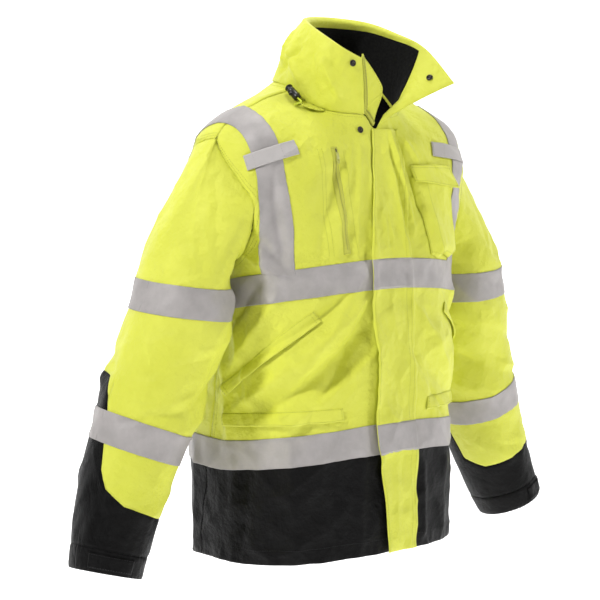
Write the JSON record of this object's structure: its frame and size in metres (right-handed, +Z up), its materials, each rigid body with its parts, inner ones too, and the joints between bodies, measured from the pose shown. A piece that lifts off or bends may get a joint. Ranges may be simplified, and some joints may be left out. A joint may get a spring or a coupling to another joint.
{
  "type": "hi-vis work jacket",
  "caption": "Fluorescent yellow and black work parka with reflective tape, filled out hollow with open neck, cuffs and hem, collar open.",
  "frame": {"origin": "centre of the neck seam, where the wearer carries the jacket", "axes": "+Z up along the wearer's neck, -Y out of the jacket's front, +X towards the wearer's left sleeve"},
  "size_m": [1.046, 0.4011, 0.9453],
  "materials": {
    "yellow_shell": "woven polyester shell, soft sheen",
    "black_shell": "woven polyester shell, matt",
    "reflective_tape": "glass-bead retroreflective tape, satin",
    "webbing": "woven grey webbing",
    "black_fleece": "short pile fleece",
    "black_lining": "plain lining",
    "zip_coil": "nylon coil and painted slider",
    "dark_metal": "gunmetal snap",
    "black_plastic": "moulded cord lock",
    "yellow_cord": "braided elastic cord"
  },
  "bodies": {
    "jacket": {"front_right": "yellow_shell", "front_right_hem_panel": "black_shell", "front_left": "yellow_shell", "front_left_hem_panel": "black_shell", "back": "yellow_shell", "back_hem_panel": "black_shell", "front_zip": "zip_coil", "neck_lining": "black_lining", "chest_tape": "reflective_tape", "lower_tape": "reflective_tape", "shoulder_tape_right": "reflective_tape", "shoulder_tape_left": "reflective_tape", "mic_tab_right": "webbing", "mic_tab_left": "webbing", "hand_pocket_welt_right": "yellow_shell", "hand_pocket_welt_left": "yellow_shell", "lower_pocket_flap_right": "yellow_shell", "lower_pocket_flap_left": "yellow_shell", "chest_zip": "yellow_shell", "radio_pocket": "yellow_shell", "radio_pocket_flap": "yellow_shell", "storm_flap": "yellow_shell", "flap_tape_chest": "reflective_tape", "flap_tape_lower": "reflective_tape", "sleeve_right": "yellow_shell", "forearm_right": "black_shell", "cuff_band_right": "black_shell", "sleeve_tape_right_1": "reflective_tape", "sleeve_tape_right_2": "reflective_tape", "cuff_tab_right": "black_shell", "sleeve_left": "yellow_shell", "forearm_left": "black_shell", "cuff_band_left": "black_shell", "sleeve_tape_left_1": "reflective_tape", "sleeve_tape_left_2": "reflective_tape", "cuff_tab_left": "black_shell", "collar": "yellow_shell", "collar_fleece": "black_fleece", "collar_zip": "zip_coil", "zip_guard": "yellow_shell", "hood_pouch_lip": "yellow_shell", "snap_front": "dark_metal", "snap_collar": "dark_metal", "snap_lapel": "dark_metal", "cord_lock": "black_plastic", "drawcord": "yellow_cord", "chest_zip_slider": "zip_coil"},
    "pull_tab": {"chest_zip_pull": "zip_coil"}
  },
  "joints": [
    {"name": "pull_tab_hinge", "type": "hinge", "parent": "jacket", "child": "pull_tab", "pos_m": [-0.09835, -0.1449, -0.10809], "axis": [-0.9979, -0.0278, -0.0587], "range_deg": [0, 150]}
  ]
}
